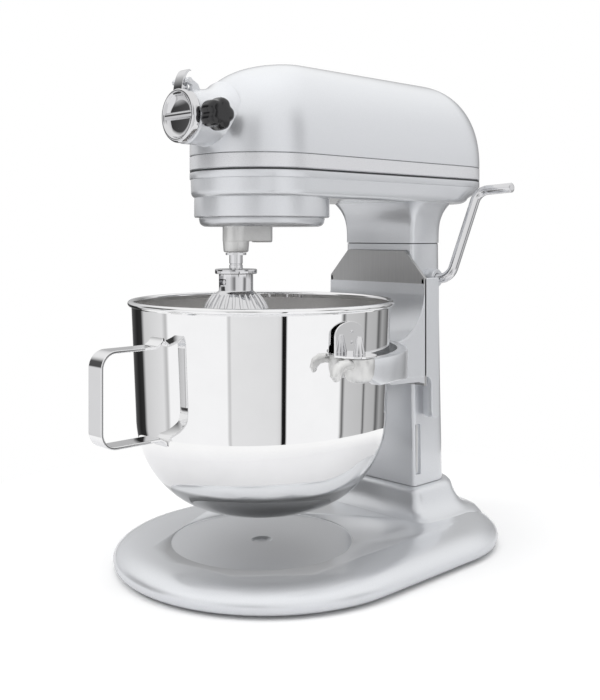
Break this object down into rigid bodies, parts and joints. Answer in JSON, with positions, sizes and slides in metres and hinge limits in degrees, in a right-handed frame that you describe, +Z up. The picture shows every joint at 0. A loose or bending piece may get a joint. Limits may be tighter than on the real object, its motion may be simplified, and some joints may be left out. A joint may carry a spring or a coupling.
{
  "type": "stand mixer",
  "caption": "Bowl-lift stand mixer with a planetary whip, a steel bowl on a sliding yoke raised by a side lever, an attachment hub, a column and a wide oval base.",
  "frame": {"origin": "on the surface the feet stand on, under the middle of the whole object's box", "axes": "+Z up, -Y towards the attachment hub and the bowl's handle (the front), +X towards the lift lever"},
  "size_m": [0.2604, 0.4296, 0.4189],
  "materials": {
    "silver_paint": "metallic silver gloss enamel on a casting",
    "band": "satin silver trim strip with dark edge lines",
    "satin_metal": "satin cast",
    "polished_steel": "mirror-polished stainless steel",
    "chrome": "bright plate",
    "gear_steel": "machined steel",
    "bronze": "machined bronze",
    "copper": "wound copper",
    "black_plastic": "gloss black",
    "grey_plastic": "moulded",
    "rubber": "matt"
  },
  "bodies": {
    "frame": {"base_casting": "silver_paint", "rubber_foot_1": "rubber", "rubber_foot_2": "rubber", "rubber_foot_3": "rubber", "rubber_foot_4": "rubber", "rubber_foot_5": "rubber", "column_bolt_1": "gear_steel", "column_bolt_2": "gear_steel", "column_bolt_3": "gear_steel", "column_bolt_4": "gear_steel", "column_casting": "silver_paint", "gearcase": "silver_paint", "motor_head_housing": "silver_paint", "trim_band": "band", "housing_screw_1": "gear_steel", "housing_screw_2": "gear_steel", "ring_gear": "gear_steel", "centre_bearing": "gear_steel", "stator": "gear_steel", "front_bearing_bracket": "satin_metal", "rear_bearing_bracket": "satin_metal", "brush_left": "grey_plastic", "brush_right": "grey_plastic", "speed_control_board": "grey_plastic", "cap_hinge_pin": "chrome"},
    "planetary": {"planetary_housing": "satin_metal", "centre_shaft": "gear_steel", "centre_gear": "gear_steel", "centre_bevel_gear": "gear_steel"},
    "agitator": {"agitator_shaft": "polished_steel", "planetary_pinion": "gear_steel", "shaft_pin": "polished_steel", "thrust_washer": "polished_steel", "whip_hub": "satin_metal", "whip_wires": "polished_steel"},
    "transfer": {"transfer_shaft": "gear_steel", "transfer_pinion": "gear_steel", "worm_wheel": "bronze"},
    "armature": {"armature_shaft": "gear_steel", "armature_core": "copper", "commutator": "copper", "cooling_fan": "grey_plastic"},
    "hub_drive": {"hub_drive_shaft": "gear_steel", "hub_bevel_gear": "gear_steel"},
    "cap": {"hub_cap": "chrome"},
    "knob": {"hub_knob": "black_plastic", "hub_knob_screw": "chrome"},
    "bowl_carrier": {"bowl_yoke": "silver_paint", "locating_pin_left": "chrome", "locating_pin_right": "chrome", "rear_latch_spring": "chrome", "lift_rod": "gear_steel", "bowl": "polished_steel", "bowl_handle": "polished_steel", "bowl_bracket_left": "polished_steel", "bowl_bracket_right": "polished_steel", "bowl_rear_pin": "polished_steel"},
    "lever": {"lift_lever": "chrome", "lift_crank": "gear_steel"},
    "speed": {"speed_lever": "black_plastic"}
  },
  "joints": [
    {"name": "planetary_spin", "type": "hinge", "parent": "frame", "child": "planetary", "pos_m": [0, -0.05275, 0.285], "axis": [0, 0, 1], "continuous": true},
    {"name": "agitator_spin", "type": "hinge", "parent": "planetary", "child": "agitator", "pos_m": [0, -0.08125, 0.265], "axis": [0, 0, 1], "continuous": true},
    {"name": "transfer_spin", "type": "hinge", "parent": "frame", "child": "transfer", "pos_m": [-0.019, -0.02336, 0.334], "axis": [0, 0, 1], "continuous": true},
    {"name": "armature_spin", "type": "hinge", "parent": "frame", "child": "armature", "pos_m": [0, 0.05725, 0.372], "axis": [0, 1, 0], "continuous": true},
    {"name": "hub_drive_spin", "type": "hinge", "parent": "frame", "child": "hub_drive", "pos_m": [0, -0.09275, 0.3672], "axis": [0, 1, 0], "continuous": true},
    {"name": "hub_cap_hinge", "type": "hinge", "parent": "frame", "child": "cap", "pos_m": [0, -0.13625, 0.3935], "axis": [-1, 0, 0], "range_deg": [0, 80]},
    {"name": "hub_knob_turn", "type": "hinge", "parent": "frame", "child": "knob", "pos_m": [0.03, -0.12675, 0.3665], "axis": [1, 0, 0], "range_deg": [0, 270]},
    {"name": "lift_lever_hinge", "type": "hinge", "parent": "frame", "child": "lever", "pos_m": [0, 0.11825, 0.234], "axis": [-1, 0, 0], "range_deg": [0, 120]},
    {"name": "bowl_lift", "type": "slide", "parent": "frame", "child": "bowl_carrier", "axis": [0, 0, -1], "range_m": [0, 0.028]},
    {"name": "speed_slide", "type": "slide", "parent": "frame", "child": "speed", "axis": [0, 1, 0], "range_m": [0, 0.03]}
  ],
  "couplings": [
    {"joint": "agitator_spin", "follows": "planetary_spin", "ratio": -3},
    {"joint": "transfer_spin", "follows": "planetary_spin", "ratio": -3},
    {"joint": "armature_spin", "follows": "planetary_spin", "ratio": 27},
    {"joint": "hub_drive_spin", "follows": "planetary_spin", "ratio": -1.6667},
    {"joint": "bowl_lift", "follows": "lift_lever_hinge", "m_per_rad": 0.01336}
  ]
}
